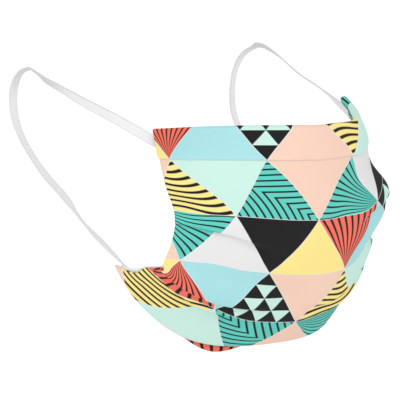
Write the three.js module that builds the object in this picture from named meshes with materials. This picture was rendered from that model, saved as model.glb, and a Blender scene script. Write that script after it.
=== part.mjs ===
// A pleated cloth face mask with two flat elastic ear loops, in the shape that it has when it is worn.
// Millimetres, +Z up. The wearer looks along -Y, and +X is at the wearer's left.
// The origin is where the inside of the mask sits on the bridge of the nose.
import * as THREE from "three";

const { lerp, smoothstep, degToRad } = THREE.MathUtils;

// Overall sizes of the opened mask.
const cheekHalfWidth = 74; // from the middle to the side edge at the cheeks
const noseDepth = 63; // from the upper corners forward to the front of the nose
const openHeight = 142; // from the upper corners down past the chin, with the pleats open

// Cloth, and the way that its layers lie on each other.
const clothWall = 1.0;
const liningWall = 1.0;
const bandWall = 1.0;
const liningGap = 0.6; // between the cloth and its lining
const layerGap = 0.35; // between the lining, the band and the hem
const strapGap = 0.9; // between a strap's sewn end and the layer outside it
const pleatPitch = 1.8; // between the middles of two layers of one pleat

// The band over the rim and the hem inside the lower edge.
const bandHeight = 18.5;
const bandTurnedIn = 14; // how far the band goes down the inside of the mask
const hemHeight = 9;
const hemDroop = 7; // how far the hem hangs down past the cloth at its lowest
const hemDroopAt = -0.38; // its place and its half length, as shares of half the mask
const hemDroopReach = 0.32;
const hemOvershoot = 0.15; // the share of the droop over which the hem goes on in the lining's direction

// Flat elastic.
const strapWidth = 6;
const strapThickness = 1.0;
const loopReach = 128; // from the upper corners back to the bend behind the ear
const strapTab = 9; // the sewn end of a strap, inside the mask
const upperTabDrop = 7.6; // from a corner of the mask to the middle of the strap sewn there
const lowerTabInset = 6.5; // from the side edge to the middle of the strap sewn at a lower corner

const noseSeatDrop = 8; // from the rim down to the place that sits on the nose

// How finely the pieces are divided.
const crossSteps = 32;
const sectionSteps = 80;
const strapSteps = 60;

// A table's rows, each with its values under the columns' names.
function asRows(columns, table) {
  return table.map((row) => Object.fromEntries(columns.map((name, i) => [name, row[i]])));
}

// Lines across the mask: the rim, the band's edge, the bridge and the tip of the nose, the nostrils, the
// mouth, the lip, the chin and the lower edge. "at" is the place down the cloth. "ahead" and "down" are
// for the middle of the line, "endAhead" and "endDown" for its ends at the side edges, forward of and
// below the upper corners, as shares of noseDepth and openHeight. "out" is a share of cheekHalfWidth,
// "sweep" the angle that the line turns through, and "lift" the power with which it goes up or down
// towards its ends. "leftOut" and "leftDown" are added towards the end at the wearer's left.
const rails = asRows(
  ["at", "ahead", "down", "out", "endAhead", "endDown", "sweep", "lift", "leftOut", "leftDown"],
  [
    [0, 0.84, 0, 0.887, 0, 0.026, 80, 1.3, 0.04, -0.034],
    [0.125, 0.89, 0.107, 0.946, 0.206, 0.129, 84, 1.5, 0.02, -0.012],
    [0.235, 0.95, 0.23, 0.958, 0.35, 0.24, 64, 1.6, 0, 0],
    [0.345, 1, 0.349, 1, 0.556, 0.33, 46, 1.8, 0, 0],
    [0.45, 0.976, 0.465, 1.004, 0.508, 0.437, 50, 2, 0.02, 0],
    [0.56, 0.89, 0.58, 1, 0.38, 0.528, 56, 2.2, -0.075, 0],
    [0.77, 0.667, 0.789, 0.973, 0.333, 0.57, 50, 2.4, -0.01, 0],
    [0.815, 0.6, 0.835, 1, 0.175, 0.588, 54, 2.5, 0.06, 0.008],
    [1, 0.35, 0.947, 1.054, -0.333, 0.606, 62, 3.4, 0.08, 0.03],
  ],
);

// The wearer's left cheek is held a little lower than the right one, by a share of openHeight on each
// side. This fades from the mouth to the lower edge.
const cheekSkew = 0.023;
const chinSkew = 0.004;
const skewFadesFrom = 0.5;

// Pleats, from the upper one down. Each is folded at the side edges and opens towards the middle of the
// mask. "midAt" and "edgeAt" are the places of the fold down the cloth at the middle and at a side edge,
// and "bow" is how early it turns from the one to the other. "outer" is the height of its outer layer and
// "hides" the cloth that it covers, both in pleatPitch. "opens" and "closes" are the shares of half the
// mask where it starts to close and is closed.
const pleats = [
  {
    name: "upper",
    midAt: 0.55,
    outer: 1,
    right: { edgeAt: 0.388, bow: 1.3, hides: 4, opens: 0.3, closes: 0.72 },
    left: { edgeAt: 0.378, bow: 2.5, hides: 3, opens: 0.62, closes: 0.9 },
  },
  {
    name: "middle",
    midAt: 0.75,
    outer: 2,
    right: { edgeAt: 0.765, bow: 1, hides: 5.5, opens: 0.18, closes: 0.75 },
    left: { edgeAt: 0.765, bow: 1, hides: 5.5, opens: 0.18, closes: 0.75 },
  },
  {
    name: "lower",
    midAt: 0.82,
    outer: 0,
    right: { edgeAt: 0.815, bow: 1, hides: 2.4, opens: 0.25, closes: 0.7 },
    left: { edgeAt: 0.815, bow: 1, hides: 2.4, opens: 0.25, closes: 0.7 },
  },
];
const pleatLayersShare = 0.2; // the share of a pleat's closing over which its layers part
const pleatPanelSteps = [9, 6, 1, 5]; // divisions of the cloth above, between and below the pleats

// The ear loops' routes outside the mask, from the upper corner round the ear to the lower one. "back" and
// "up" are shares of loopReach behind and above the upper corners, and "out" is a share of cheekHalfWidth.
// "turn" is the angle of the strap's width from upright, in degrees, as seen along the strap.
const routeColumns = ["back", "out", "up", "turn"];
const rightRoute = asRows(routeColumns, [
  [0.2, 1.0, -0.005, 8],
  [0.332, 1.034, 0.022, -2],
  [0.471, 1.068, 0.05, -11],
  [0.609, 1.101, 0.083, -25],
  [0.726, 1.122, 0.107, -34],
  [0.812, 1.135, 0.135, -50],
  [0.872, 1.139, 0.134, -85],
  [0.939, 1.142, 0.094, -102],
  [0.979, 1.142, 0.032, -102],
  [0.992, 1.139, -0.036, -104],
  [0.977, 1.135, -0.118, -107],
  [0.932, 1.122, -0.199, -111],
  [0.846, 1.108, -0.281, -109],
  [0.731, 1.095, -0.358, -101],
  [0.61, 1.081, -0.419, -100],
  [0.474, 1.068, -0.506, -130],
  [0.323, 1.047, -0.584, -113],
]);
const leftRoute = asRows(routeColumns, [
  [0.304, 1.0, -0.003, 35],
  [0.456, 1.047, 0.013, 44],
  [0.598, 1.081, 0.04, 45],
  [0.721, 1.108, 0.073, 45],
  [0.84, 1.128, 0.097, 42],
  [0.905, 1.135, 0.1, 55],
  [0.947, 1.135, 0.088, 85],
  [1.0, 1.128, 0.062, 92],
  [1.041, 1.108, 0.024, 106],
  [1.063, 1.081, -0.033, 118],
  [1.06, 1.054, -0.088, 125],
  [1.033, 1.014, -0.165, 124],
  [0.977, 0.98, -0.246, 118],
  [0.88, 0.965, -0.33, 112],
  [0.72, 0.965, -0.42, 105],
  [0.55, 1.0, -0.5, 98],
  [0.4, 1.02, -0.57, 92],
  [0.27, 1.03, -0.642, 90],
]);

const colours = { cloth: 0xf6cdb8, lining: 0xf4f4f4, band: 0xa6e6e0, hem: 0xf08a7a, elastic: 0xf7f7f7 };

// The cloth's own surface

function railPoint(rail, s) {
  const a = Math.abs(s);
  const sweep = degToRad(rail.sweep);
  const across = Math.sin(sweep * a) / Math.sin(sweep);
  const around = (1 - Math.cos(sweep * a)) / (1 - Math.cos(sweep));
  const skew = lerp(cheekSkew, chinSkew, smoothstep(rail.at, skewFadesFrom, 1)) * Math.sin(Math.PI * s);
  const left = s > 0 ? a * a : 0;
  const down = lerp(rail.down, rail.endDown, a ** rail.lift) + skew + rail.leftDown * left;
  return new THREE.Vector3(
    Math.sign(s) * across * (rail.out + rail.leftOut * left) * cheekHalfWidth,
    -noseDepth * lerp(rail.ahead, rail.endAhead, around),
    -openHeight * down,
  );
}

// A point of the smooth cloth. s runs from -1 at the wearer's right edge to 1 at the left, t from 0 at
// the rim to 1.
function basePoint(s, t) {
  const last = rails.length - 1;
  let i = 0;
  while (i < last - 1 && t > rails[i + 1].at) i += 1;
  const knots = [i - 1, i, i + 1, i + 2].map((k) => Math.min(Math.max(k, 0), last));
  const [before, start, end, after] = knots.map((k) => railPoint(rails[k], s));
  const [atBefore, atStart, atEnd, atAfter] = knots.map((k) => rails[k].at);
  const span = atEnd - atStart;
  const leave = end.clone().sub(before).multiplyScalar(span / (atEnd - atBefore));
  const arrive = after.clone().sub(start).multiplyScalar(span / (atAfter - atStart));
  const u = (t - atStart) / span;
  return start
    .multiplyScalar((1 + 2 * u) * (1 - u) ** 2)
    .addScaledVector(leave, u * (1 - u) ** 2)
    .addScaledVector(end, u * u * (3 - 2 * u))
    .addScaledVector(arrive, u * u * (u - 1));
}

const TINY = 1e-3;

function slopeDown(s, t) {
  const up = Math.max(t - TINY, 0);
  const low = Math.min(t + TINY, 1);
  return basePoint(s, low).sub(basePoint(s, up)).normalize();
}

function slopeAcross(s, t) {
  const right = Math.max(s - TINY, -1);
  const left = Math.min(s + TINY, 1);
  return basePoint(left, t).sub(basePoint(right, t)).normalize();
}

function outwards(s, t) {
  return slopeDown(s, t).cross(slopeAcross(s, t)).normalize();
}

// One line down the smooth cloth, which can be walked by its true length.
function sectionAt(s) {
  const lengths = [0];
  let previous = basePoint(s, 0);
  for (let i = 1; i <= sectionSteps; i += 1) {
    const next = basePoint(s, i / sectionSteps);
    lengths.push(lengths[i - 1] + next.distanceTo(previous));
    previous = next;
  }
  const length = lengths[sectionSteps];
  const runAt = (t) => {
    const i = Math.min(Math.floor(t * sectionSteps), sectionSteps - 1);
    return lerp(lengths[i], lengths[i + 1], t * sectionSteps - i);
  };
  const tAt = (run) => {
    let i = 0;
    while (i < sectionSteps - 1 && lengths[i + 1] < run) i += 1;
    return (i + (run - lengths[i]) / (lengths[i + 1] - lengths[i])) / sectionSteps;
  };
  // The point that lies that far down the cloth and that far out from it, also past its two ends.
  const point = (run, rise) => {
    const inside = Math.min(Math.max(run, 0), length);
    const t = Math.min(Math.max(tAt(inside), 0), 1);
    return basePoint(s, t)
      .addScaledVector(slopeDown(s, t), run - inside)
      .addScaledVector(outwards(s, t), rise);
  };
  return { s, length, runAt, tAt, point };
}

const crossing = Array.from({ length: crossSteps + 1 }, (_, i) => (2 * i) / crossSteps - 1);
const sections = crossing.map(sectionAt);

// Pleats

function pleatAt(pleat, section) {
  const a = Math.abs(section.s);
  const half = section.s < 0 ? pleat.right : pleat.left;
  return {
    run: section.runAt(lerp(half.edgeAt, pleat.midAt, (1 - a) ** half.bow)),
    hidden: half.hides * pleatPitch,
    outer: pleat.outer * pleatPitch,
    closed: smoothstep(a, half.opens, half.closes),
  };
}

function layersPart(closed) {
  return smoothstep(closed, 0, pleatLayersShare);
}

// The seven corners of a pleat: down the outer layer, back up the middle one and down the inner one.
function pleatCorners(pleat, section) {
  const { run, hidden, outer, closed } = pleatAt(pleat, section);
  const bend = pleatPitch / 2;
  const folded = [
    [run - bend, outer],
    [run, outer - bend],
    [run - bend, outer - pleatPitch],
    [run - hidden + bend, outer - pleatPitch],
    [run - hidden, outer - pleatPitch - bend],
    [run - hidden + bend, outer - 2 * pleatPitch],
    [run + pleatPitch, outer - 2 * pleatPitch],
  ];
  return folded.map(([foldedRun, foldedRise], i) => {
    const flatRun = run + (i - (folded.length - 1) / 2) * bend;
    return [lerp(flatRun, foldedRun, closed), foldedRise * layersPart(closed)];
  });
}

// The whole line down the cloth at one section, as pairs of run and rise.
function clothLine(section) {
  const folds = pleats.map((pleat) => pleatCorners(pleat, section));
  const line = [[0, 0]];
  for (const [i, steps] of pleatPanelSteps.entries()) {
    const from = line.at(-1);
    const to = folds[i]?.[0] ?? [section.length, 0];
    const flatTo = Math.max(from[0], bandHeight);
    for (let k = 1; k < steps; k += 1) {
      const run = lerp(from[0], to[0], k / steps);
      line.push([run, lerp(from[1], to[1], smoothstep(run, flatTo, to[0]))]);
    }
    line.push(...(folds[i] ?? [to]));
  }
  return line;
}

const liningLead = 8; // how far above a pleat the lining is already clear of it
const liningEase = 12; // and the length over which it leaves the cloth there

// How far the innermost layer of the pleats lies inside the smooth cloth.
function pleatDepth(section, run) {
  return Math.max(
    ...pleats.map((pleat) => {
      const at = pleatAt(pleat, section);
      const inner = (2 * pleatPitch - at.outer) * layersPart(at.closed);
      const clear = at.run - at.hidden - liningLead;
      const above = smoothstep(run, clear - liningEase, clear);
      const below = 1 - smoothstep(run, at.run + pleatPitch, section.length);
      return inner * above * below;
    }),
    0,
  );
}

// Solids

function asGeometry(points, triangles) {
  const geometry = new THREE.BufferGeometry();
  geometry.setAttribute("position", new THREE.Float32BufferAttribute(points.flatMap((p) => p.toArray()), 3));
  geometry.setIndex(triangles.flat());
  geometry.computeVertexNormals();
  return geometry;
}

// A closed solid of that thickness round a grid of points, whose rows run down the cloth at one section
// after another.
function thickSheet(grid, wall) {
  const rows = grid.length;
  const columns = grid[0].length;
  const near = (k, count) => [Math.max(k - 1, 0), Math.min(k + 1, count - 1)];
  const sides = [wall / 2, -wall / 2].map((half) =>
    grid.flatMap((row, i) =>
      row.map((p, j) => {
        const [i0, i1] = near(i, rows);
        const [j0, j1] = near(j, columns);
        const across = grid[i1][j].clone().sub(grid[i0][j]);
        const down = row[j1].clone().sub(row[j0]);
        return p.clone().addScaledVector(down.cross(across).normalize(), half);
      }),
    ),
  );
  const points = sides.flat();
  const count = rows * columns;
  const triangles = [];
  const quad = (a, b, c, d) => triangles.push([a, b, c], [a, c, d]);
  for (let i = 0; i < rows - 1; i += 1) {
    for (let j = 0; j < columns - 1; j += 1) {
      const a = i * columns + j;
      const b = a + columns;
      quad(a, a + 1, b + 1, b);
      quad(count + a, count + b, count + b + 1, count + a + 1);
    }
  }
  for (let j = 0; j < columns - 1; j += 1) {
    const end = (rows - 1) * columns + j;
    quad(j, count + j, count + j + 1, j + 1);
    quad(end, end + 1, count + end + 1, count + end);
  }
  for (let i = 0; i < rows - 1; i += 1) {
    const top = i * columns;
    const low = top + columns - 1;
    quad(top, top + columns, count + top + columns, count + top);
    quad(low, count + low, count + low + columns, low + columns);
  }
  return asGeometry(points, triangles);
}

function piece(name, geometry, colour, roughness) {
  const material = new THREE.MeshStandardMaterial({ color: colour, roughness, metalness: 0 });
  const mesh = new THREE.Mesh(geometry, material);
  mesh.name = name;
  return mesh;
}

function outerCloth() {
  const grid = sections.map((section) => clothLine(section).map(([run, rise]) => section.point(run, rise)));
  return thickSheet(grid, clothWall);
}

const liningRise = -(clothWall / 2 + liningGap + liningWall / 2);
const liningSteps = 22;

function insidePoint(section, run, rise) {
  return section.point(run, rise - pleatDepth(section, run));
}

function innerLining() {
  const grid = sections.map((section) =>
    Array.from({ length: liningSteps + 1 }, (_, j) => {
      const run = (section.length * j) / liningSteps;
      return insidePoint(section, run, liningRise);
    }),
  );
  return thickSheet(grid, liningWall);
}

// The band goes from inside the mask over the rim and down its outside, and the hem lies inside the lining.
const bandOutside = clothWall / 2 + layerGap + bandWall / 2;
const bandInside = liningRise - liningWall / 2 - layerGap - bandWall / 2;

function upperBand() {
  const middle = (bandOutside + bandInside) / 2;
  const radius = (bandOutside - bandInside) / 2;
  const inside = [bandTurnedIn, bandTurnedIn * 0.7, bandTurnedIn * 0.35].map((run) => [run, bandInside]);
  const turn = [0, 45, 90, 135, 180].map((angle) => [
    -layerGap - radius * Math.sin(degToRad(angle)),
    middle - radius * Math.cos(degToRad(angle)),
  ]);
  const outside = [1, 2, 3, 4, 5, 6].map((k) => [(bandHeight * k) / 6, bandOutside]);
  const line = [...inside, ...turn, ...outside];
  const grid = sections.map((section) => line.map(([run, rise]) => section.point(run, rise)));
  return thickSheet(grid, bandWall);
}

// The hem lies along the lining to a little past its edge, and hangs straight down from there.
function lowerHem() {
  const grid = sections.map((section) => {
    const away = Math.min(Math.abs(section.s - hemDroopAt) / hemDroopReach, 1);
    const droop = hemDroop * (1 - smoothstep(away, 0, 1));
    const end = section.length + droop * hemOvershoot;
    const start = section.length - hemHeight;
    const flat = [0, 0.33, 0.67, 1].map((u) => insidePoint(section, lerp(start, end, u), bandInside));
    const drop = Math.max(droop * (1 - hemOvershoot), 0.1);
    const hanging = [0.5, 1].map((u) => flat.at(-1).clone().setZ(flat.at(-1).z - drop * u));
    return [...flat, ...hanging];
  });
  return thickSheet(grid, bandWall);
}

// Ear loops

const strapRise = bandInside - bandWall / 2 - strapGap - strapThickness / 2;

// Three points of a strap's sewn end, which lies inside the mask. The upper one runs across the mask
// from its side edge, and the lower one runs up the side edge.
function upperTab(side) {
  return [1, 0.5, 0].map((u) => {
    const section = sectionAt(side * (1 - (u * strapTab) / cheekHalfWidth));
    const width = slopeDown(section.s, section.tAt(upperTabDrop)).negate();
    return { at: section.point(upperTabDrop, strapRise), width };
  });
}

function lowerTab(side) {
  const section = sectionAt(side * (1 - lowerTabInset / cheekHalfWidth));
  return [0, 0.5, 1].map((u) => {
    const run = section.length - u * strapTab;
    const width = slopeAcross(section.s, section.tAt(run)).multiplyScalar(-side);
    return { at: insidePoint(section, run, strapRise), width };
  });
}

function loopPoints(side) {
  const route = side < 0 ? rightRoute : leftRoute;
  const free = route.map((row) => ({
    at: new THREE.Vector3(side * cheekHalfWidth * row.out, loopReach * row.back, loopReach * row.up),
    turn: degToRad(row.turn),
  }));
  const lower = lowerTab(side).map(({ at, width }) => ({
    at,
    width: width.multiplyScalar(Math.sign(free.at(-1).turn)),
  }));
  return [...upperTab(side), ...free, ...lower];
}

// The strap's width at a point of its route, square to the way that it runs.
function strapWidthAt(node, along, side) {
  const square = (v) => v.addScaledVector(along, -v.dot(along)).normalize();
  if (node.width) return square(node.width.clone());
  const flat = square(new THREE.Vector3(-side, 0, 0));
  const upright = flat.clone().cross(along).multiplyScalar(-side);
  return upright.multiplyScalar(Math.cos(node.turn)).addScaledVector(flat, Math.sin(node.turn));
}

function earLoop(side) {
  const nodes = loopPoints(side);
  const curve = new THREE.CatmullRomCurve3(nodes.map((node) => node.at), false, "centripetal");
  const last = nodes.length - 1;
  const widths = nodes.map((node, i) => strapWidthAt(node, curve.getTangent(i / last), side));
  const points = [];
  for (let k = 0; k <= strapSteps; k += 1) {
    const u = (last * k) / strapSteps;
    const i = Math.min(Math.floor(u), last - 1);
    const along = curve.getTangent(u / last);
    const width = widths[i].clone().lerp(widths[i + 1], smoothstep(u - i, 0, 1));
    width.addScaledVector(along, -width.dot(along)).setLength(strapWidth / 2);
    const depth = along.clone().cross(width).setLength(strapThickness / 2);
    const at = curve.getPoint(u / last);
    points.push(
      at.clone().add(width).add(depth),
      at.clone().sub(width).add(depth),
      at.clone().sub(width).sub(depth),
      at.clone().add(width).sub(depth),
    );
  }
  const triangles = [
    [0, 2, 1],
    [0, 3, 2],
  ];
  for (let k = 0; k < strapSteps; k += 1) {
    for (let c = 0; c < 4; c += 1) {
      const a = 4 * k + c;
      const b = 4 * k + ((c + 1) % 4);
      triangles.push([a, b, b + 4], [a, b + 4, a + 4]);
    }
  }
  const end = 4 * strapSteps;
  triangles.push([end, end + 1, end + 2], [end, end + 2, end + 3]);
  return asGeometry(points, triangles);
}

const mask = new THREE.Group();
mask.add(piece("outer_cloth", outerCloth(), colours.cloth, 0.85));
mask.add(piece("inner_lining", innerLining(), colours.lining, 0.9));
mask.add(piece("upper_band", upperBand(), colours.band, 0.85));
mask.add(piece("lower_hem", lowerHem(), colours.hem, 0.85));
mask.add(piece("ear_loop_right", earLoop(-1), colours.elastic, 0.7));
mask.add(piece("ear_loop_left", earLoop(1), colours.elastic, 0.7));

// The face of the lining on the bridge of the nose comes to the origin.
const noseSeat = sectionAt(0).point(noseSeatDrop, liningRise - liningWall / 2);
mask.position.copy(noseSeat.negate());

const faceMask = new THREE.Group();
faceMask.add(mask);

export default faceMask;
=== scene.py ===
# %% [markdown]
# # A pleated cloth face mask
# The mask hangs in the air as a face would hold it: a printed outer cloth with three pleats, a
# white lining, a band over the rim, a hem under the chin and two flat elastic loops. The packed
# model gives every place and size. This script makes the same pieces again as soft, thin cloth
# and gives them their finish.

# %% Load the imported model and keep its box
import math

import bpy
import numpy as np
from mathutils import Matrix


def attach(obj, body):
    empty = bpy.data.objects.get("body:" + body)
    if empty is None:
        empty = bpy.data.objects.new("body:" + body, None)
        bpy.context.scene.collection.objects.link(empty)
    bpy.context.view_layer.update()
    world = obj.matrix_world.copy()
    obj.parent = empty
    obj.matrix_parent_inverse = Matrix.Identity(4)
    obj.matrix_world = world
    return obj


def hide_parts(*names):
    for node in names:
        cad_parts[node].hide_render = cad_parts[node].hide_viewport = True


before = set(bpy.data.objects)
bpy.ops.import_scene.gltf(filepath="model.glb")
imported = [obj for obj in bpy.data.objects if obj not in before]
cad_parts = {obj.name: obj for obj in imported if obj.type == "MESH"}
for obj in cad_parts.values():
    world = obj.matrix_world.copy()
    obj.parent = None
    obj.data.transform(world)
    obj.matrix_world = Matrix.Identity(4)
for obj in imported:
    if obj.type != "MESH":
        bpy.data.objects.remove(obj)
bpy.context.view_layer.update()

print("nodes:", ", ".join(sorted(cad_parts)))

# %% [markdown]
# The camera comes first, because every later look depends on it. The mask is seen from its right
# front and a little from above. The near and the far loop have almost the same size in the
# picture, so the lens is very long and the camera stands far away. A short lens close by would
# make the far loop look smaller.

# %% Set up the camera
MM = 0.001
ORIGIN = np.array([0.0434, 52.4762, 8.2563])  # the middle between the upper corners, in mm
VIEW_TURN = math.radians(-33)
VIEW_RISE = math.radians(12)
PICTURE_WIDTH = 400 / 1.7  # what the picture shows across at the mask, in millimetres
PICTURE_MIDDLE = (-28.5, -50.9)  # the middle of the picture, right of and above ORIGIN
CAMERA_AWAY = 5000
SENSOR_WIDTH = 36
SEES_TO = 50  # in metres


def deselect():
    bpy.ops.object.select_all(action="DESELECT")


back = np.array(
    [
        math.sin(VIEW_TURN) * math.cos(VIEW_RISE),
        -math.cos(VIEW_TURN) * math.cos(VIEW_RISE),
        math.sin(VIEW_RISE),
    ]
)
right = np.array([math.cos(VIEW_TURN), math.sin(VIEW_TURN), 0])
up = np.cross(back, right)
aim = ORIGIN + PICTURE_MIDDLE[0] * right + PICTURE_MIDDLE[1] * up

deselect()
bpy.ops.object.camera_add(
    location=(aim + CAMERA_AWAY * back) * MM,
    rotation=(math.pi / 2 - VIEW_RISE, 0, VIEW_TURN),
)
camera = bpy.context.object
camera.name = "photo_camera"
camera.data.sensor_width = SENSOR_WIDTH
camera.data.lens = SENSOR_WIDTH * CAMERA_AWAY / PICTURE_WIDTH
camera.data.clip_end = SEES_TO
bpy.context.scene.camera = camera
print("lens", round(camera.data.lens), "mm")

# %% [markdown]
# The studio is a wide pale floor, a bright sky all round and one large soft lamp in front. Such
# light leaves only the softest shadows, as on a white photo table. The floor could be small, but
# then its far edge would show behind the mask in a low view.

# %% Make the floor
FLOOR_Z = -0.3
FLOOR_SIZE = 60
FLOOR_CUTS = 3

deselect()
bpy.ops.mesh.primitive_plane_add(size=FLOOR_SIZE, location=(0, 0, FLOOR_Z))
floor = bpy.context.object
floor.name = "floor"
bpy.ops.object.transform_apply(location=True, rotation=True, scale=True)
bpy.ops.object.mode_set(mode="EDIT")
bpy.ops.mesh.select_all(action="SELECT")
bpy.ops.mesh.subdivide(number_cuts=FLOOR_CUTS)
bpy.ops.object.mode_set(mode="OBJECT")
print("floor", FLOOR_SIZE, "m wide, with", len(floor.data.polygons), "faces")

# %% Light the studio
SKY_STRENGTH = 0.74
LAMP_PLACE = (-0.7, -1.1, 1.1)
LAMP_TURN = (48, 0, -32)  # in degrees
LAMP_SIZE = 1.2
LAMP_POWER = 8.5

bpy.context.scene.view_settings.view_transform = "Standard"
world = bpy.data.worlds.new("studio_sky")
bpy.context.scene.world = world
world.use_nodes = True
sky = world.node_tree.nodes["Background"]
sky.inputs["Color"].default_value = (1, 1, 1, 1)
sky.inputs["Strength"].default_value = SKY_STRENGTH

deselect()
bpy.ops.object.light_add(type="AREA", location=LAMP_PLACE)
lamp = bpy.context.object
lamp.name = "soft_key"
lamp.data.shape = "DISK"
lamp.data.size = LAMP_SIZE
lamp.data.energy = LAMP_POWER
lamp.rotation_euler = [math.radians(turn) for turn in LAMP_TURN]
print("lamp", lamp.data.size, "m wide")

# %% [markdown]
# All the cloth follows one smooth surface. Nine lines run across the mask, from the rim to the
# lower edge, and the surface passes through them. A place on it is given by s, from -1 at the
# wearer's right edge to 1 at the left one, and by the length of cloth down from the rim. Cloth
# could also be draped by a simulation, but a fixed worn shape is easier to keep to the model.

# %% The lines across the mask, as in the solid model
CHEEK_HALF = 74  # from the middle to a cheek, in millimetres
NOSE_DEPTH = 63
OPEN_HEIGHT = 142

# The skews say how much lower the wearer's left lies and how much higher the right, as parts of
# the height.
CHEEK_SKEW = 0.023
CHIN_SKEW = 0.004
SKEW_CHANGES_FROM = 0.5
FAR_PUSH = np.zeros((9, 3))  # how far each line moves beside the far eye and cheek, in mm
FAR_PUSH[0] = 3.2, -2.0, -2.2
FAR_PUSH[5] = -2.4, 1.6, 0
FAR_PUSH[6] = -0.8, 0.5, 0
FAR_PUSH[7] = 2.2, -1.4, 0
PUSH_COMES = (0.3, 0.62)  # where along s those moves come in
PUSH_GOES = (0.7, 1)  # and where they end

# Each row below is one line. "at" is its share of the way from the rim to the lower edge. Then
# come its place in the middle and at the side edge, how far it curves round and lifts between
# them, and how the wearer's left differs.
RAIL_COLUMNS = (
    "at", "ahead", "down", "out", "end_ahead", "end_down", "sweep", "lift", "left_out", "left_down"
)
RAILS = np.array(
    [
        (0, 0.84, 0, 0.887, 0, 0.026, 80, 1.3, 0.04, -0.034),
        (0.125, 0.89, 0.107, 0.946, 0.206, 0.129, 84, 1.5, 0.02, -0.012),
        (0.235, 0.95, 0.23, 0.958, 0.35, 0.24, 64, 1.6, 0, 0),
        (0.345, 1, 0.349, 1, 0.556, 0.33, 46, 1.8, 0, 0),
        (0.45, 0.976, 0.465, 1.004, 0.508, 0.437, 50, 2, 0.02, 0),
        (0.56, 0.89, 0.58, 1, 0.38, 0.528, 56, 2.2, -0.075, 0),
        (0.77, 0.667, 0.789, 0.973, 0.333, 0.57, 50, 2.4, -0.01, 0),
        (0.815, 0.6, 0.835, 1, 0.175, 0.588, 54, 2.5, 0.06, 0.008),
        (1, 0.35, 0.947, 1.054, -0.333, 0.606, 62, 3.4, 0.08, 0.03),
    ]
)


def lerp(a, b, u):
    return a + (b - a) * u


def ease(x, low, high):
    u = np.clip((x - low) / (high - low), 0, 1)
    return u * u * (3 - 2 * u)


def rail_points(s):
    """The nine lines' points at the places s, as an array of s, line and coordinate."""
    rail = dict(zip(RAIL_COLUMNS, RAILS.T))
    s = np.asarray(s, float)[:, None]
    a = np.abs(s)
    sweep = np.radians(rail["sweep"])
    across = np.sin(sweep * a) / np.sin(sweep)
    around = (1 - np.cos(sweep * a)) / (1 - np.cos(sweep))
    skew = lerp(CHEEK_SKEW, CHIN_SKEW, ease(rail["at"], SKEW_CHANGES_FROM, 1)) * np.sin(np.pi * s)
    left = np.where(s > 0, a * a, 0)
    down = lerp(rail["down"], rail["end_down"], a ** rail["lift"]) + skew + rail["left_down"] * left
    far = ease(s, *PUSH_COMES) * (1 - ease(s, *PUSH_GOES))
    return np.stack(
        [
            np.sign(s) * across * (rail["out"] + rail["left_out"] * left) * CHEEK_HALF,
            -NOSE_DEPTH * lerp(rail["ahead"], rail["end_ahead"], around),
            -OPEN_HEIGHT * down,
        ],
        axis=-1,
    ) + far[..., None] * FAR_PUSH


print("lines:", len(RAILS), "from the rim to the lower edge")

# %% [markdown]
# Between the lines the surface is a smooth curve down the mask, worked out in many small steps.
# Cloth keeps its length, so every place on a piece is found by walking along that curve, and
# then by stepping off the surface to the layer where the cloth lies.

# %% The smooth surface between the lines
FINE = 480  # samples down the cloth
SIDE_STEP = 0.002  # how far to the sides the way across is measured, in s


def bend_between(start, end, leave, arrive, u):
    """A smooth curve from start to end, which sets out along leave and comes in along arrive."""
    return (
        start * (1 + 2 * u) * (1 - u) ** 2
        + leave * u * (1 - u) ** 2
        + end * u * u * (3 - 2 * u)
        + arrive * u * u * (u - 1)
    )


def smooth_cloth(s):
    """Points of the smooth surface below each s, from the rim to the lower edge."""
    knots = rail_points(s)
    at = RAILS[:, 0]
    t = np.linspace(0, 1, FINE + 1)
    i = np.clip(np.searchsorted(at, t, side="right") - 1, 0, len(at) - 2)
    before, after = np.maximum(i - 1, 0), np.minimum(i + 2, len(at) - 1)
    span = at[i + 1] - at[i]
    u = ((t - at[i]) / span)[None, :, None]
    leave = (knots[:, i + 1] - knots[:, before]) * (span / (at[i + 1] - at[before]))[None, :, None]
    arrive = (knots[:, after] - knots[:, i]) * (span / (at[after] - at[i]))[None, :, None]
    return bend_between(knots[:, i], knots[:, i + 1], leave, arrive, u)


def unit(v):
    return v / np.linalg.norm(v, axis=-1, keepdims=True)


class Sections:
    """Lines down the smooth surface, one below each s, which are walked by their true length."""

    def __init__(self, s):
        self.s = np.asarray(s, float)
        self.points = smooth_cloth(self.s)
        beyond = smooth_cloth(np.minimum(self.s + SIDE_STEP, 1))
        self.across = unit(beyond - smooth_cloth(np.maximum(self.s - SIDE_STEP, -1)))
        self.slope = unit(np.gradient(self.points, axis=1))
        self.out = unit(np.cross(self.slope, self.across))
        runs = np.linalg.norm(np.diff(self.points, axis=1), axis=2).cumsum(axis=1)
        self.runs = np.concatenate([np.zeros((len(self.s), 1)), runs], axis=1)
        self.length = self.runs[:, -1]

    def run_at(self, t):
        t = np.broadcast_to(t, self.s.shape)
        return np.array([np.interp(x * FINE, np.arange(FINE + 1), r) for x, r in zip(t, self.runs)])

    def place(self, run, rise, sideways=0.0):
        """Points that lie so many millimetres down, out from the surface and along s."""
        sideways = np.broadcast_to(sideways, run.shape)
        placed = np.empty(run.shape + (3,))
        for k, r in enumerate(self.runs):
            inside = np.clip(run[k], 0, r[-1])
            index = np.interp(inside, r, np.arange(FINE + 1))
            low = np.minimum(index.astype(int), FINE - 1)
            part = (index - low)[:, None]

            def pick(values):
                return values[k][low] * (1 - part) + values[k][low + 1] * part

            placed[k] = (
                pick(self.points)
                + pick(self.slope) * (run[k] - inside)[:, None]
                + pick(self.out) * rise[k][:, None]
                + pick(self.across) * sideways[k][:, None]
            )
        return placed


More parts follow.
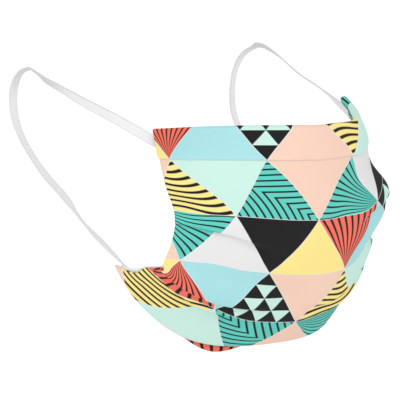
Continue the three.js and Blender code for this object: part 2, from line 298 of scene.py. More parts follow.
ACROSS = 190  # cloth cells from one side edge to the other
columns = np.linspace(-1, 1, ACROSS + 1)
sections = Sections(columns)
print("cloth length in the middle", round(sections.length[ACROSS // 2], 1), "mm")
print("and at an edge", round(sections.length[0], 1), "mm")

# %% [markdown]
# A pleat is a Z of three layers. At the side edges it is pressed flat, and towards the middle it
# opens and fades into the surface. Each pleat has one row for the wearer's right and one for the
# left, because the worn mask has pulled them open by different amounts.

# %% The pleats
PITCH = 1.35  # from the middle of one layer to the next, in millimetres
FOLD_UNIT = 1.8  # the unit of "hides", as in the solid model

# mid_at is where a pleat lies in the middle, as a share of the way down, and outer is the layer
# that lies outermost. Each side says where it lies at the side edge, how much its line bows, how
# much cloth it hides, and between which places along s it closes.
PLEATS = [
    dict(mid_at=0.55, outer=1, right=(0.374, 1.3, 4, 0.3, 0.72), left=(0.378, 2.5, 3, 0.62, 0.9)),
    dict(mid_at=0.75, outer=2, right=(0.78, 1, 5.5, 0.18, 0.75), left=(0.765, 1, 5.5, 0.18, 0.75)),
    dict(mid_at=0.82, outer=0, right=(0.815, 1, 2.4, 0.25, 0.7), left=(0.815, 1, 2.4, 0.25, 0.7)),
]
RISE_EARLY = 0.16  # how far before it closes a pleat starts to rise, as a part of s
RISE_PART = 0.3  # and how far into its closing it has risen
PANEL_STEPS = (12, 9, 2, 9)  # parts of the cloth above each pleat and below the last one
BAND_HEIGHT = 18.5  # how far down the band reaches outside, in millimetres


def pleat_state(pleat, lines):
    """Where a pleat lies below each s, what it hides, its outer layer, how closed, how risen."""
    half = np.where(lines.s[:, None] < 0, pleat["right"], pleat["left"])
    edge_at, bow, hides, opens, closes = half.T
    a = np.abs(lines.s)
    run = lines.run_at(lerp(edge_at, pleat["mid_at"], (1 - a) ** bow))
    risen = ease(a, opens - RISE_EARLY, lerp(opens, closes, RISE_PART))
    return run, hides * FOLD_UNIT, pleat["outer"] * PITCH, ease(a, opens, closes), risen


print("pleats:", len(PLEATS))

# %% [markdown]
# Below each place along the rim the cloth is a line of straight parts between corners, as a
# folded strip of paper is. The corners are then rounded by a smooth curve, because soft cloth
# turns round a fold and doesn't crease sharply.

# %% The folded line down the cloth
def pleat_corners(pleat, lines):
    run, hidden, outer, closed, risen = pleat_state(pleat, lines)
    bend = PITCH / 2
    outer = np.full_like(run, outer)
    folded = np.array(
        [
            (run - bend, outer),
            (run, outer - bend),
            (run - bend, outer - PITCH),
            (run - hidden + bend, outer - PITCH),
            (run - hidden, outer - PITCH - bend),
            (run - hidden + bend, outer - 2 * PITCH),
            (run + PITCH, outer - 2 * PITCH),
        ]
    )
    flat = run + (np.arange(7) - 3)[:, None] * bend
    runs = lerp(flat, folded[:, 0], closed)
    rises = folded[:, 1] * risen
    return runs.T, rises.T


def cloth_lines(lines):
    """The folded line down the cloth below each s, as the corners' runs and rises."""
    runs, rises = [np.zeros((len(lines.s), 1))], [np.zeros((len(lines.s), 1))]
    for k, steps in enumerate(PANEL_STEPS):
        if k < len(PLEATS):
            to_runs, to_rises = pleat_corners(PLEATS[k], lines)
        else:
            to_runs, to_rises = lines.length[:, None], np.zeros((len(lines.s), 1))
        start, end = runs[-1][:, -1:], to_runs[:, :1]
        share = np.arange(1, steps) / steps
        panel = lerp(start, end, share)
        flat_to = np.maximum(start, BAND_HEIGHT)
        runs += [panel, to_runs]
        rises += [lerp(rises[-1][:, -1:], to_rises[:, :1], ease(panel, flat_to, end)), to_rises]
    return np.concatenate(runs, axis=1), np.concatenate(rises, axis=1)


# %% Round the folds
CURVE_PARTS = 4


def rounded(values, parts):
    """A smooth curve along each row of corners, with that many parts between two of them."""
    padded = np.concatenate(
        [2 * values[:, :1] - values[:, 1:2], values, 2 * values[:, -1:] - values[:, -2:-1]], axis=1
    )
    u = np.arange(parts) / parts
    weights = np.stack(
        [(1 - u) ** 3, 3 * u**3 - 6 * u**2 + 4, -3 * u**3 + 3 * u**2 + 3 * u + 1, u**3], axis=1
    ) / 6
    count = values.shape[1] - 1
    pieces = np.stack([padded[:, k : k + count] for k in range(4)], axis=-1)
    curve = np.einsum("nkc,pc->nkp", pieces, weights).reshape(len(values), -1)
    return np.concatenate([curve, values[:, -1:]], axis=1)


corner_runs, corner_rises = cloth_lines(sections)
cloth_runs = rounded(corner_runs, CURVE_PARTS)
cloth_rises = rounded(corner_rises, CURVE_PARTS)
print("rows down the cloth:", cloth_runs.shape[1])

# %% [markdown]
# Every sheet of cloth starts as a flat grid, as it would be cut. Its vertices are then moved to
# their places on the worn mask, and its UV map keeps the flat cloth's own millimetres, so a print
# follows the folds. Solidify gives the thickness at the end.

# %% A helper that lays a flat grid on the mask
def lay_sheet(name, placed, cloth_mm, wall):
    """placed and cloth_mm give a point and a place on the flat cloth for each column and row."""
    across, down = placed.shape[0] - 1, placed.shape[1] - 1
    deselect()
    bpy.ops.mesh.primitive_grid_add(
        x_subdivisions=across, y_subdivisions=down, size=1, location=(0, 0, 0)
    )
    sheet = bpy.context.object
    sheet.name = name
    mesh = sheet.data
    mesh.name = name
    flat = np.empty(len(mesh.vertices) * 3)
    mesh.vertices.foreach_get("co", flat)
    flat = flat.reshape(-1, 3)
    column = np.rint((flat[:, 0] + 0.5) * across).astype(int)
    row = np.rint((0.5 - flat[:, 1]) * down).astype(int)
    mesh.vertices.foreach_set("co", ((placed[column, row] + ORIGIN) * MM).ravel())
    corner = np.empty(len(mesh.loops), int)
    mesh.loops.foreach_get("vertex_index", corner)
    mesh.uv_layers[0].name = "cloth"
    mesh.uv_layers[0].uv.foreach_set("vector", cloth_mm[column, row][corner].ravel())
    mesh.update()
    bpy.ops.object.shade_smooth()
    thick = sheet.modifiers.new("thickness", "SOLIDIFY")
    thick.thickness = wall * MM
    thick.offset = 0
    bpy.ops.object.modifier_apply(modifier=thick.name)
    print(name, len(sheet.data.polygons), "faces")
    return sheet


# %% Helpers that find a place on the flat cloth
HALF_CLOTH = 87  # half of the cloth's width


def lengths_along(placed):
    steps = np.linalg.norm(np.diff(placed, axis=1), axis=2)
    return np.concatenate([np.zeros((len(placed), 1)), steps.cumsum(axis=1)], axis=1)


def flat_places(s, down):
    """The place on the flat cloth, in millimetres across and down, for each s and row."""
    return np.stack([np.broadcast_to(s * HALF_CLOTH, down.shape), down], axis=-1)


# %% [markdown]
# The elastic pulls on the lower corners. Above each of them the cloth's edge is drawn in a
# little, more than the lining's, and the near corner hangs lower, so the white lining shows there
# as a thin line.

# %% The lower corners
EDGE_SAG = 3.8  # how far the edge is drawn in above a lower corner, in millimetres
SAG_FROM = 0.84  # where that starts, as a part of the length down
SAG_ACROSS = (0.9, 1)  # and where along s it comes in
CORNER_LONGER = 2.4  # how much longer the cloth is at the near lower corner
CORNER_ACROSS = (0.75, 0.95)  # where along s that comes in
CORNER_DOWN = (0.86, 1)  # and where down the cloth, as a part of its length
s_of = columns[:, None]
length_of = sections.length[:, None]


def edge_sag(run, sag):
    place = np.clip((run / length_of - SAG_FROM) / (1 - SAG_FROM), 0, 1)
    return -np.sign(s_of) * sag * np.sin(np.pi * place) * ease(np.abs(s_of), *SAG_ACROSS)


longer = CORNER_LONGER * ease(-s_of, *CORNER_ACROSS)
cloth_runs = cloth_runs + longer * ease(cloth_runs / length_of, *CORNER_DOWN)
print("the near corner hangs", round(float(longer.max()), 1), "mm lower")

# %% [markdown]
# The outer cloth carries the print. Real cloth is never quite smooth, so it has broad shallow
# swells of a third of a millimetre, and three soft wrinkles that carry on from the folds. They
# could be painted as bumps, but real shape also changes the light and the outline.

# %% Swells and wrinkles
# Each wrinkle has its place along s and down the cloth, its depth, and how far it reaches to both
# sides of its line and along it.
WRINKLES = [
    (-0.36, 74, 1.3, 4, 0.2),
    (-0.2, 80, -0.8, 6, 0.2),
    (-0.3, 99, 1.5, 8, 0.4),
]
WRINKLE_SLANT = 22  # how much further down a wrinkle lies for each unit of s

# Each swell has its height, how fast it changes along s and down the cloth, and where it starts.
SWELLS = [
    (0.30, 5.1, 0.051, 0.4),
    (0.20, 9.3, -0.083, 2.0),
    (0.12, 17.0, 0.120, 4.2),
]
CALM_BELOW_BAND = 20
CALM_ABOVE_EDGE = 15


def wrinkles(s, run):
    """Shallow troughs that carry on from a fold towards the middle."""
    rise = 0
    for at, middle, deep, half_wide, half_long in WRINKLES:
        along = (s - at) / half_long
        beside = (run - middle - WRINKLE_SLANT * (s - at)) / half_wide
        rise = rise - deep * np.exp(-along * along - beside * beside)
    return rise


def swells(s, run):
    return sum(high * np.sin(along * s + down * run + start) for high, along, down, start in SWELLS)


def calm(run):
    """1 on the open cloth and 0 at the band and at the lower edge."""
    below_band = ease(run, BAND_HEIGHT, BAND_HEIGHT + CALM_BELOW_BAND)
    return below_band * ease(length_of - run, 0, CALM_ABOVE_EDGE)


uneven = (swells(s_of, cloth_runs) + wrinkles(s_of, cloth_runs)) * calm(cloth_runs)
print("the cloth swells by", round(float(np.abs(uneven).max()), 1), "mm at most")

# %% The outer cloth
CLOTH_WALL = 0.8
PRINT_IN_FOLDS = 0.3  # how much of the print the hidden layers of a fold take up

outer_points = sections.place(cloth_runs, cloth_rises + uneven, edge_sag(cloth_runs, EDGE_SAG))
without_folds = np.maximum.accumulate(cloth_runs, axis=1)
print_down = lerp(without_folds, lengths_along(outer_points), PRINT_IN_FOLDS)
outer_cloth = lay_sheet("printed_cloth", outer_points, flat_places(s_of, print_down), CLOTH_WALL)

# %% [markdown]
# The lining follows the innermost layer of the pleats. It is one plain sheet, so it only needs
# to know how deep the pleats reach at each place. Where the pleats turn the corner its rows would
# crowd, so they are eased a few times: each point moves towards the middle of its neighbours.

# %% The lining
LINING_RISE = -1.5
LINING_LEAD = 8  # how far above a fold it has reached its full depth, in millimetres
LINING_EASE = 12  # and over what length it gets there
LINING_SHORT = 1.3  # how far above the lower edge it ends, inside the hem, in millimetres
LINING_SAG = 1.9  # how far its edge is drawn in above a lower corner
LINING_SWELL = 0.5  # how much of the outer cloth's swells it has
LINING_ROWS = 120
LINING_EASINGS = 4


def pleat_depth(lines, run):
    """How deep the pleats' innermost layers lie at each place, in millimetres."""
    depth = np.zeros_like(run)
    for pleat in PLEATS:
        at, hidden, outer, _, risen = pleat_state(pleat, lines)
        at, hidden = at[:, None], hidden[:, None]
        inner = (2 * PITCH - outer) * risen[:, None]
        clear = at - hidden - LINING_LEAD
        above = ease(run, clear - LINING_EASE, clear)
        below = 1 - ease(run, at + PITCH, lines.length[:, None])
        depth = np.maximum(depth, inner * above * below)
    return depth


lining_runs = (length_of - LINING_SHORT) * np.linspace(0, 1, LINING_ROWS + 1)
lining_uneven = (
    swells(s_of, lining_runs) * LINING_SWELL + wrinkles(s_of, lining_runs) * calm(lining_runs)
)
lining_points = sections.place(
    lining_runs,
    LINING_RISE - pleat_depth(sections, lining_runs) + lining_uneven,
    edge_sag(lining_runs, LINING_SAG),
)
for _ in range(LINING_EASINGS):
    between = (lining_points[:, :-2] + lining_points[:, 2:]) / 2
    lining_points[:, 1:-1] = (lining_points[:, 1:-1] + between) / 2
lining = lay_sheet("white_lining", lining_points, flat_places(s_of, lining_runs), CLOTH_WALL)

# %% [markdown]
# The band is a strip of the same print, folded over the rim. Its line goes up the inside, round
# the rim in a half circle and down the outside, and its last rows sink onto the cloth. The print
# runs on from the band to the cloth below it, so the band's place on the flat cloth is the same
# as that of the cloth under it.

# %% The band over the rim
BAND_OUTSIDE = 1.1
BAND_INSIDE = -2.5
BAND_TURNED_IN = 14
BAND_PLACES = dict(inside=22, turn=17, outside=30)  # how many places each part of its line has
BAND_SINKS = np.array([0.02, 0.08, 0.18, 0.35])  # how far its last rows sink


def band_line():
    centre, radius = (BAND_OUTSIDE + BAND_INSIDE) / 2, (BAND_OUTSIDE - BAND_INSIDE) / 2
    inside = np.linspace(BAND_TURNED_IN, 0, BAND_PLACES["inside"], endpoint=False)
    turn = np.linspace(0, np.pi, BAND_PLACES["turn"])
    outside = np.linspace(0, BAND_HEIGHT, BAND_PLACES["outside"])[1:]
    runs = np.concatenate([inside, -radius * np.sin(turn), outside])
    rises = np.concatenate(
        [
            np.full_like(inside, BAND_INSIDE),
            centre - radius * np.cos(turn),
            np.full_like(outside, BAND_OUTSIDE),
        ]
    )
    rises[-len(BAND_SINKS) :] -= BAND_SINKS
    return runs, rises


runs, rises = band_line()
band_runs = np.broadcast_to(runs, (len(columns), len(runs)))
band_rises = np.broadcast_to(rises, band_runs.shape)
band_points = sections.place(band_runs, band_rises)
band_length = lengths_along(band_points)
band_down = band_length - band_length[:, -1:] + BAND_HEIGHT
band = lay_sheet("rim_band", band_points, flat_places(s_of, band_down), CLOTH_WALL)

# %% [markdown]
# The hem lies inside the lower edge and hangs out below the chin in a shallow crescent. It could
# be one piece with the outer cloth, but a strip of its own is easier to let down at one place.

# %% The hem under the chin
HEM_HEIGHT = 9
HEM_DROOP = 6.3
HEM_DROOP_AT = -0.38  # where along s it hangs lowest
HEM_DROOP_REACH = 0.32  # and how far to each side it hangs
HEM_DROOP_ALONG = 0.15  # the part of the droop that follows the surface; the rest hangs straight
HEM_ENDS = 0.955  # where the hem ends, inside the cloth's side edges
HEM_LIP = 0.5  # how far its last rows hang down everywhere, in millimetres
HEM_ACROSS = 160
HEM_ROWS = 12
HANGING_ROWS = 6
HEM_PRINT_FROM = 30  # where its upper edge lies on the flat print, in millimetres

hem_lines = Sections(np.linspace(-HEM_ENDS, HEM_ENDS, HEM_ACROSS + 1))
away = np.minimum(np.abs(hem_lines.s - HEM_DROOP_AT) / HEM_DROOP_REACH, 1)
droop = HEM_DROOP * (1 - ease(away, 0, 1))
edge = (hem_lines.length - HEM_LIP + HEM_DROOP_ALONG * droop)[:, None]
sewn_runs = lerp(edge - HEM_HEIGHT, edge, np.linspace(0, 1, HEM_ROWS + 1))
hem_runs = np.concatenate([sewn_runs, np.repeat(edge, HANGING_ROWS, axis=1)], axis=1)
hem_points = hem_lines.place(hem_runs, BAND_INSIDE - pleat_depth(hem_lines, hem_runs))
hanging = (HEM_LIP + (1 - HEM_DROOP_ALONG) * droop)[:, None]
hem_points[:, HEM_ROWS + 1 :, 2] -= hanging * np.arange(1, HANGING_ROWS + 1) / HANGING_ROWS
hem_mm = flat_places(hem_lines.s[:, None], lengths_along(hem_points) + HEM_PRINT_FROM)
hem = lay_sheet("chin_hem", hem_points, hem_mm, CLOTH_WALL)

# %% [markdown]
# The loops are flat knitted elastic. Each is a long narrow grid, laid along the route round the
# ear and twisted as the real one is: upright where it leaves the upper corner, flat behind the
# ear. A curve with a bevel would be quicker, but its twist is hard to set place by place.

# %% The routes of the ear loops
STRAP_WIDTH = 6
STRAP_THICKNESS = 1.0
STRAP_CELLS_ACROSS = 12
STRAP_CELLS_ALONG = 320
ROUTE_SAMPLES = 1200
LOOP_REACH = 128  # the unit of "back" and "up" in the routes
STRAP_TAB = 9  # how long a sewn end is
UPPER_TABS = {-1: 7.6, 1: 3.4}  # how far below the rim the middle of each upper end lies
LOWER_TABS = {-1: (5, 8), 1: (8.5, 0)}  # how far each lower end is from the side and lower edges
STRAP_RISE = -3.9  # how far inside the surface the sewn ends lie
STRAP_SIDES = {"elastic_right": -1, "elastic_left": 1}

# Each place on a route is so far back, out to the side and up. Its turn is the angle between the
# strap's width and upright, in degrees.
ROUTE_COLUMNS = ("back", "out", "up", "turn")
RIGHT_ROUTE = np.array(
    [
        (0.2, 1.0, -0.005, 8),
        (0.332, 1.034, 0.022, -2),
        (0.471, 1.068, 0.05, -11),
        (0.609, 1.101, 0.083, -25),
        (0.726, 1.122, 0.107, -34),
        (0.812, 1.135, 0.135, -50),
        (0.872, 1.139, 0.134, -85),
        (0.939, 1.142, 0.094, -102),
        (0.979, 1.142, 0.032, -102),
        (0.992, 1.139, -0.036, -104),
        (0.977, 1.135, -0.118, -107),
        (0.932, 1.122, -0.199, -111),
        (0.846, 1.108, -0.281, -109),
        (0.731, 1.095, -0.358, -101),
        (0.61, 1.081, -0.419, -100),
        (0.474, 1.068, -0.506, -130),
        (0.323, 1.045, -0.584, -113),
    ]
)
LEFT_ROUTE = np.array(
    [
        (0.304, 1.0, 0.019, 56),
        (0.456, 1.047, 0.031, 55),
        (0.598, 1.081, 0.058, 50),
        (0.721, 1.108, 0.086, 50),
        (0.84, 1.128, 0.104, 48),
        (0.905, 1.135, 0.103, 58),
        (0.947, 1.135, 0.088, 85),
        (1.0, 1.128, 0.062, 92),
        (1.041, 1.108, 0.024, 106),
        (1.063, 1.081, -0.033, 118),
        (1.06, 1.054, -0.088, 125),
        (1.033, 1.014, -0.165, 124),
        (0.977, 0.98, -0.246, 118),
        (0.88, 0.965, -0.33, 112),
        (0.72, 0.965, -0.42, 105),
        (0.55, 1.0, -0.5, 98),
        (0.4, 1.02, -0.57, 92),
        (0.27, 1.03, -0.642, 90),
    ]
)
print("places on the routes:", len(RIGHT_ROUTE), "and", len(LEFT_ROUTE))

# %% [markdown]
# Each loop starts and ends with a flat tab that is sewn on inside the mask. Between the two tabs
# its line passes smoothly through the places of its route, and its width turns from each place's
# angle to the next.

# %% The sewn ends of a loop
def sewn_ends(side):
    """The points of a strap's two sewn ends inside the mask, and the way its width lies."""
    steps = np.array([1, 0.5, 0])
    lines = Sections(side * (1 - steps * STRAP_TAB / CHEEK_HALF))
    runs = np.full((3, 1), UPPER_TABS[side])
    upper = lines.place(runs, np.full((3, 1), STRAP_RISE))[:, 0]
    k = int(FINE * UPPER_TABS[side] / lines.length[0])
    upper_width = -lines.slope[:, k]
    inset, above = LOWER_TABS[side]
    edge = Sections([side * (1 - inset / CHEEK_HALF)])
    runs = edge.length[0] - above - STRAP_TAB * np.array([[0, 0.5, 1]])
    lower = edge.place(runs, STRAP_RISE - pleat_depth(edge, runs))[0]
    lower_width = np.repeat(-side * edge.across[:, -1], 3, axis=0)
    return upper, upper_width, lower, lower_width


# %% The line and the twist of a loop
def strap_frame(side):
    """The strap's middle line, the way across its width and the length so far, in even steps."""
    upper, upper_width, lower, lower_width = sewn_ends(side)
    route = dict(zip(ROUTE_COLUMNS, (RIGHT_ROUTE if side < 0 else LEFT_ROUTE).T))
    beside = side * CHEEK_HALF * route["out"]
    free = np.stack([beside, LOOP_REACH * route["back"], LOOP_REACH * route["up"]], axis=1)
    knots = np.concatenate([upper, free, lower])
    along = unit(np.gradient(knots, axis=0))[3:-3]
    flat = np.broadcast_to([-side, 0, 0.0], along.shape)
    flat = unit(flat - along * (flat * along).sum(axis=1, keepdims=True))
    upright = -side * np.cross(flat, along)
    turn = np.radians(route["turn"])[:, None]
    free_width = np.cos(turn) * upright + np.sin(turn) * flat
    widths = np.concatenate([upper_width, free_width, np.sign(turn[-1]) * lower_width])
    gaps = np.sqrt(np.linalg.norm(np.diff(knots, axis=0), axis=1))
    place = np.concatenate([[0], gaps.cumsum()])
    tangents = np.gradient(knots, place, axis=0)
    fine = np.linspace(0, place[-1], ROUTE_SAMPLES)
    i = np.clip(np.searchsorted(place, fine, side="right") - 1, 0, len(place) - 2)
    span = (place[i + 1] - place[i])[:, None]
    u = (fine - place[i])[:, None] / span
    centre = bend_between(knots[i], knots[i + 1], tangents[i] * span, tangents[i + 1] * span, u)
    width = widths[i] * (1 - ease(u, 0, 1)) + widths[i + 1] * ease(u, 0, 1)
    length = np.concatenate([[0], np.linalg.norm(np.diff(centre, axis=0), axis=1).cumsum()])
    even = np.linspace(0, length[-1], STRAP_CELLS_ALONG + 1)
    centre = np.stack([np.interp(even, length, centre[:, k]) for k in range(3)], axis=1)
    width = np.stack([np.interp(even, length, width[:, k]) for k in range(3)], axis=1)
    along = unit(np.gradient(centre, axis=0))
    width = unit(width - along * (width * along).sum(axis=1, keepdims=True))
    return centre, width, even


# %% Make both ear loops
def ear_loop(name):
    centre, width, length = strap_frame(STRAP_SIDES[name])
    across = np.linspace(-1, 1, STRAP_CELLS_ACROSS + 1) * STRAP_WIDTH / 2
    placed = centre[None, :, :] + across[:, None, None] * width[None, :, :]
    cloth_mm = np.stack(np.broadcast_arrays(across[:, None], length[None, :]), axis=-1)
    strap = lay_sheet(name, placed, cloth_mm, STRAP_THICKNESS)
    print(name, "is", round(length[-1]), "mm long")
    return strap


loop_right = ear_loop("elastic_right")
loop_left = ear_loop("elastic_left")

# %% [markdown]
# A finish is a small tree of nodes. Writing it as Python arithmetic keeps it readable, so a
# socket is wrapped in a class that turns +, -, * and / into Math nodes. Every other node comes
# from one method. The nodes could also be placed by hand, but a print has too many of them.

# %% A number that changes over a surface
class Number:
    """A number that changes over a surface."""

    def __init__(self, finish, socket):
        self.finish = finish
        self.socket = socket

    def math(self, operation, *others):
        return self.finish.number("ShaderNodeMath", dict(operation=operation), (self, *others))

    def __add__(self, other):
        return self.math("ADD", other)

    def __mul__(self, other):
        return self.math("MULTIPLY", other)

    __rmul__ = __mul__

    def __sub__(self, other):
        return self.math("SUBTRACT", other)

    def __rsub__(self, other):
        return self * -1 + other

    def __truediv__(self, other):
        return self.math("DIVIDE", other)

    def floor(self):
        return self.math("FLOOR")

    def fraction(self):
        return self.math("FRACT")

    def size(self):
        return self.math("ABSOLUTE")

    def sine(self):
        return self.math("SINE")

    def least(self, other):
        return self.math("MINIMUM", other)

    def remainder(self, other):
        return self.math("FLOORED_MODULO", other)

    def over(self, edge, soft):
        """0 below the edge and 1 above it, with a soft step that wide."""
        return ((self - edge) / soft + 0.5).clamp()

    def clamp(self):
        return self.finish.number("ShaderNodeClamp", {}, (self,))


# %% A material that makes its own nodes
class Finish:
    """A material, with the one method that makes its nodes."""

    def __init__(self, name):
        self.material = bpy.data.materials.new(name)
        self.material.use_nodes = True
        self.tree = self.material.node_tree
        self.surface = self.tree.nodes["Principled BSDF"]

    def node(self, kind, settings=None, inputs=()):
        node = self.tree.nodes.new(kind)
        for name, value in (settings or {}).items():
            setattr(node, name, value)
        pairs = inputs.items() if isinstance(inputs, dict) else enumerate(inputs)
        for slot, value in pairs:
            self.feed(node.inputs[slot], value)
        return node

    def number(self, kind, settings, inputs):
        return Number(self, self.node(kind, settings, inputs).outputs[0])

    def feed(self, socket, value):
        if isinstance(value, Number):
            value = value.socket
        if isinstance(value, bpy.types.NodeSocket):
            self.tree.links.new(value, socket)
        elif value is not None:
            socket.default_value = value

    def set(self, **values):
        for name, value in values.items():
            title = name.replace("_", " ").title().replace("Ior", "IOR")
            self.feed(self.surface.inputs[title], value)

    def cloth_mm(self):
        """The place on the flat cloth, in millimetres."""
        uv = self.node("ShaderNodeUVMap", dict(uv_map="cloth"))
        parts = self.node("ShaderNodeSeparateXYZ", {}, (uv.outputs[0],))
        return Number(self, parts.outputs[0]), Number(self, parts.outputs[1])

    def mix(self, share, first, second):
        """A colour between two others."""
        node = self.node("ShaderNodeMix", dict(data_type="RGBA"))
        self.feed(node.inputs[0], share)
        for socket, value in ((node.inputs[6], first), (node.inputs[7], second)):
            self.feed(socket, (*value, 1) if isinstance(value, tuple) else value)
        return node.outputs[2]

    def bump(self, height, distance):
        node = self.node("ShaderNodeBump", {}, dict(Strength=1.0, Distance=distance, Height=height))
        self.feed(self.surface.inputs["Normal"], node.outputs[0])


# %% Colours as a screen shows them
def srgb(red, green, blue):
    """A colour as a screen shows it, from 0 to 255, as the light that a shader wants."""
    values = [v / 255 for v in (red, green, blue)]
    return tuple(v / 12.92 if v <= 0.04045 else ((v + 0.055) / 1.055) ** 2.4 for v in values)


# %% [markdown]
# The print is a plain lattice of large triangles with thin pale lines between them. Some are of
# one colour, and some have rays from a corner, chevrons, waves or small triangles. All of it is
# worked out from the place on the flat cloth: two slanted coordinates give the cell, and their
# fractions give the distances from its three sides. An image would be simpler, but it blurs when
# one looks closely.

# %% The print's colours and lattice
SIDE_MM = 57  # a triangle's side
ROW_MM = 35.4  # and its height
LINE = 0.004  # half of the pale line, as a share of the height
PEACH = srgb(245, 208, 188)
MINT = srgb(202, 236, 225)
SKY = srgb(168, 222, 226)
YELLOW = srgb(252, 231, 145)
PALE = srgb(230, 229, 230)
INK = srgb(31, 30, 31)
TEAL = srgb(98, 206, 192)
CORAL = srgb(246, 116, 98)

# The fills in their order along a row: the ground, the colour on it and the kind of stripes.
FILLS = [
    (PEACH, None, "plain"),
    (INK, TEAL, "fan"),
    (PALE, None, "plain"),
    (INK, None, "plain"),
    (YELLOW, None, "plain"),
    (INK, CORAL, "shell"),
    (SKY, None, "plain"),
    (MINT, INK, "small"),
    (PEACH, None, "plain"),
    (INK, YELLOW, "waves"),
    (MINT, None, "plain"),
    (INK, TEAL, "chevrons"),
]
ROW_SHIFT = 5  # how many fills a row starts after the row above it
print("fills in the print:", len(FILLS))

# %% [markdown]
# A stripe pattern is a number that grows by one from each stripe to the next. Its fraction says
# how far a place is from the middle of its gap, and a soft step turns that into a colour. Each
# kind of stripes has its own such number, so one helper draws them all.

# %% The print's stripes and cells
SOFT = 0.05  # the soft edge of a stripe, as a share of its pitch
TINY = 0.001  # keeps a division away from zero
PRINT_SHIFT = (0.35, 0.0)  # where the lattice starts, in triangles across and down
HEM_PRINT_SHIFT = (1.59, 0.44)


def stripes(phase, gap):
    """0 in the gaps and 1 on the stripes, for a phase that grows by 1 with each stripe."""
    return (phase.fraction() - 0.5).size().over(gap, SOFT * 2)


def print_colour(finish, shift=PRINT_SHIFT):
    """The print's colour at a place on the cloth."""
    across, down = finish.cloth_mm()
    y = (down - BAND_HEIGHT) / ROW_MM + shift[1]
    x = across / SIDE_MM + shift[0] - y * 0.5
    row, column = y.floor(), x.floor()
    b, c = y.fraction(), x.fraction()

    # a cell holds two triangles, and the lower one is the upper one turned round
    lower = (b + c).over(1, 0.0005)
    b = b + lower * (1 - 2 * b)
    c = c + lower * (1 - 2 * c)
    a = 1 - b - c  # a, b and c grow from 0 at one side to 1 at the corner across from it
    index = (column * 2 + lower + row * ROW_SHIFT).remainder(len(FILLS))
    reach = b + c
    marks = dict(
        fan=stripes((c / (reach + TINY)) * 10 + (reach * 5).sine() * 0.4, 0.15),
        shell=stripes((a / (a + c + TINY)) * 9 + (b * 6).sine() * 0.1, 0.17),
        chevrons=stripes((reach + (b - c).size() * 0.8) * 6 + 0.3, 0.15),
        waves=stripes(b * 8 + (c * 8).sine() * 0.35, 0.2),
        small=1 - ((b * 4).fraction() + (c * 4).fraction()).over(1, 0.05),
    )
    colour = None
    for k, (ground, ink, kind) in enumerate(FILLS):
        fill = finish.mix(marks[kind], ground, ink) if ink else ground
        chosen = 1 - (index - k).size().over(0.5, 0.01)
        colour = fill if colour is None else finish.mix(chosen, colour, fill)
    line = 1 - a.least(b).least(c).over(LINE, LINE)
    return finish.mix(line, colour, PALE)


# %% [markdown]
# The cloth is smooth cotton, matt and with hardly any shine. Its threads are too fine to model,
# so a small bump shows them: two sines that cross as threads do, and a little fine grain, so
# that the weave isn't too even.

# %% The woven cloth's finish
THREAD_PITCH = 0.42  # from one thread to the next, in millimetres
THREAD_SHARE = 0.6  # how much of the bump is weave; the rest is grain
CLOTH_BUMP = 0.00006  # in metres
GRAIN_SCALE = 900.0
CLOTH_ROUGHNESS = 0.82
ROUGHNESS_CHANGE = 0.12
WHITE = (*srgb(240, 240, 241), 1)


def wave(value, pitch):
    return (value * (2 * math.pi / pitch)).sine()


def weave_height(finish):
    """Threads that pass over and under each other, from 0 to 1."""
    across, down = finish.cloth_mm()
    return wave(across, THREAD_PITCH) * wave(down, THREAD_PITCH) * 0.5 + 0.5


def cloth_finish(name, colour_of):
    finish = Finish(name)
    place = finish.node("ShaderNodeTexCoord").outputs["Object"]
    noise = dict(Vector=place, Scale=GRAIN_SCALE, Detail=2.0)
    grain = finish.number("ShaderNodeTexNoise", {}, noise)
    finish.set(
        base_color=colour_of(finish),
        roughness=(grain - 0.5) * ROUGHNESS_CHANGE + CLOTH_ROUGHNESS,
        specular_ior_level=0.15,
        sheen_weight=0.04,
        sheen_roughness=0.5,
    )
    height = weave_height(finish) * THREAD_SHARE + grain * (1 - THREAD_SHARE)
    finish.bump(height, CLOTH_BUMP)
    return finish.material


printed = cloth_finish("printed_cotton", print_colour)
hem_print = cloth_finish("hem_cotton", lambda finish: print_colour(finish, HEM_PRINT_SHIFT))
white = cloth_finish("white_cotton", lambda finish: WHITE)
print("cloth finishes:", printed.name, hem_print.name, white.name)

# %% [markdown]
# The elastic is knitted: fine ribs run along it, and rows of small loops cross them. Its colour has
# painted shade between the ribs and along its edges, and more painted shade where it bends round
# the top of the ear.

# %% The elastic's finish
BEND_SHADE_AT = 121  # the middle of the painted shade at the bend round the ear, in millimetres along the elastic from its upper end
BEND_SHADE_REACH = 42
RIB_PITCH = 0.75  # from one rib to the next, in millimetres
ROW_PITCH = 0.9  # and from one row of small loops to the next
ROW_WAVE = 0.12  # how far a row wavers
RIB_SHARE = 0.6  # how much of the bump is ribs; the rest is rows
EDGE_SHADE_FROM = 2.6  # where the painted shade along the edges starts, in millimetres from the middle
EDGE_SHADE_SHARE = 0.6
ELASTIC_BUMP = 0.00015  # in metres
GROOVE_SHADED_KNIT = (srgb(234, 234, 236), srgb(246, 246, 247))  # painted shade between the ribs, and the elastic's own colour on them
# a darker copy of the knit colours, painted shade for where the loop bends round the top of the ear
BEND_SHADED_KNIT = (srgb(200, 200, 202), srgb(213, 213, 214))
ELASTIC_EDGE_SHADE = srgb(222, 222, 224)


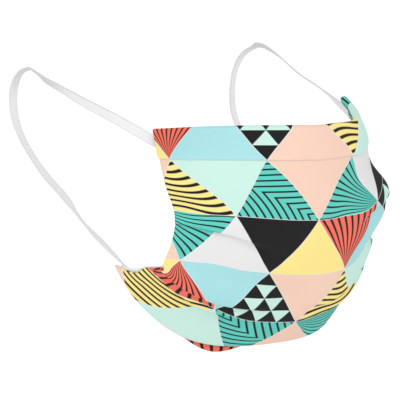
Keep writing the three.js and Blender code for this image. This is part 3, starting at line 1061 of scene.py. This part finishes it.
def elastic_finish():
    finish = Finish("white_elastic")
    across, along = finish.cloth_mm()
    rib = wave(across, RIB_PITCH)
    row = wave(along + rib * ROW_WAVE, ROW_PITCH)
    height = (rib * 0.5 + 0.5) * RIB_SHARE + (row * 0.5 + 0.5) * (1 - RIB_SHARE)
    # painted shade along both edges of the strap
    edge = across.size().over(EDGE_SHADE_FROM, 0.5)
    # painted shade: near the bend round the ear the knit turns to its darker copy
    from_bend = ((along - BEND_SHADE_AT) / BEND_SHADE_REACH).size().clamp()
    away_from_bend_shade = from_bend * from_bend * (3 - from_bend * 2)
    # the colour follows the ribs' height, so the grooves between them carry painted shade
    knit = finish.mix(
        away_from_bend_shade, finish.mix(height, *BEND_SHADED_KNIT), finish.mix(height, *GROOVE_SHADED_KNIT)
    )
    finish.set(
        base_color=finish.mix(edge * EDGE_SHADE_SHARE, knit, ELASTIC_EDGE_SHADE),
        roughness=0.75,
        sheen_weight=0.1,
    )
    finish.bump(height, ELASTIC_BUMP)
    return finish.material


elastic = elastic_finish()
print("the elastic bends round the ear at", BEND_SHADE_AT, "mm")

# %% Give each piece its finish
for obj, material in (
    (outer_cloth, printed),
    (band, printed),
    (hem, hem_print),
    (lining, white),
    (loop_right, elastic),
    (loop_left, elastic),
):
    obj.data.materials.clear()
    obj.data.materials.append(material)
    print(obj.name, "is of", material.name)

# %% [markdown]
# The floor is matt white paper. Away from the mask it glows a little, so it runs into the white
# sky without a line, and only the part below the mask can show a soft shadow.

# %% The floor's finish
FLOOR_COLOUR = (*srgb(242, 242, 242), 1)
GLOW_FROM = 0.3  # where the glow starts, in metres from the middle
GLOW_OVER = 0.3  # and over what length it comes in
GLOW_STRENGTH = 0.4

studio_floor = Finish("studio_floor")
floor_place = studio_floor.node("ShaderNodeTexCoord").outputs["Object"]
from_middle = studio_floor.node("ShaderNodeVectorMath", dict(operation="LENGTH"), (floor_place,))
from_middle = Number(studio_floor, from_middle.outputs["Value"])
glow = ((from_middle - GLOW_FROM) / GLOW_OVER).clamp()
studio_floor.set(
    base_color=FLOOR_COLOUR,
    roughness=0.9,
    emission_color=studio_floor.mix(glow, (0.0, 0.0, 0.0), (1.0, 1.0, 1.0)),
    emission_strength=GLOW_STRENGTH,
)
floor.data.materials.append(studio_floor.material)
print("the floor glows from", GLOW_FROM, "m on")

# %% [markdown]
# Each piece now rides on the one body and stands for its solid, which is hidden.

# %% Tie the pieces to the frame
for obj, node, slot in (
    (outer_cloth, "outer_cloth", "outer_cloth"),
    (lining, "inner_lining", "inner_lining"),
    (band, "upper_band", "upper_band"),
    (hem, "lower_hem", "lower_hem"),
    (loop_right, "ear_loop_right", "ear_loop"),
    (loop_left, "ear_loop_left", "ear_loop"),
):
    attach(obj, "root")
    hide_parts(node)
